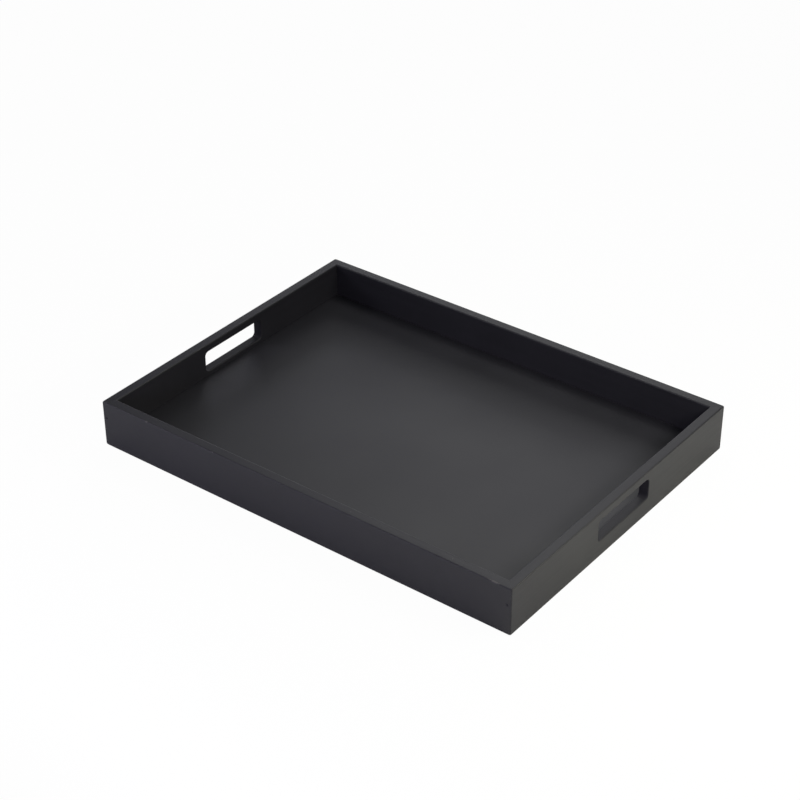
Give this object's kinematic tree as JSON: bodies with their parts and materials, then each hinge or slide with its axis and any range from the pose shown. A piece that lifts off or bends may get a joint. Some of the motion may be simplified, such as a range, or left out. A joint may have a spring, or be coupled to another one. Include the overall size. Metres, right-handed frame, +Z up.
{
  "type": "butler tray",
  "caption": "Rectangular black butler tray: mitred wooden walls round a housed base panel, with a rounded hand slot through each end for carrying.",
  "frame": {"origin": "middle of the tray, on the surface that it stands on", "axes": "+X along the long rails towards the right end, +Y from the front rail to the back rail, +Z up"},
  "size_m": [0.44, 0.326, 0.0465],
  "materials": {
    "wall_paint": "wood under satin black paint",
    "panel_paint": "flat board under satin black paint",
    "pin_steel": "plain drawn wire"
  },
  "bodies": {
    "root": {"base_panel": "panel_paint", "front_rail": "wall_paint", "back_rail": "wall_paint", "left_end": "wall_paint", "right_end": "wall_paint", "front_left_lower_pin": "pin_steel", "front_left_upper_pin": "pin_steel", "front_right_lower_pin": "pin_steel", "front_right_upper_pin": "pin_steel", "back_left_lower_pin": "pin_steel", "back_left_upper_pin": "pin_steel", "back_right_lower_pin": "pin_steel", "back_right_upper_pin": "pin_steel"}
  },
  "joints": []
}
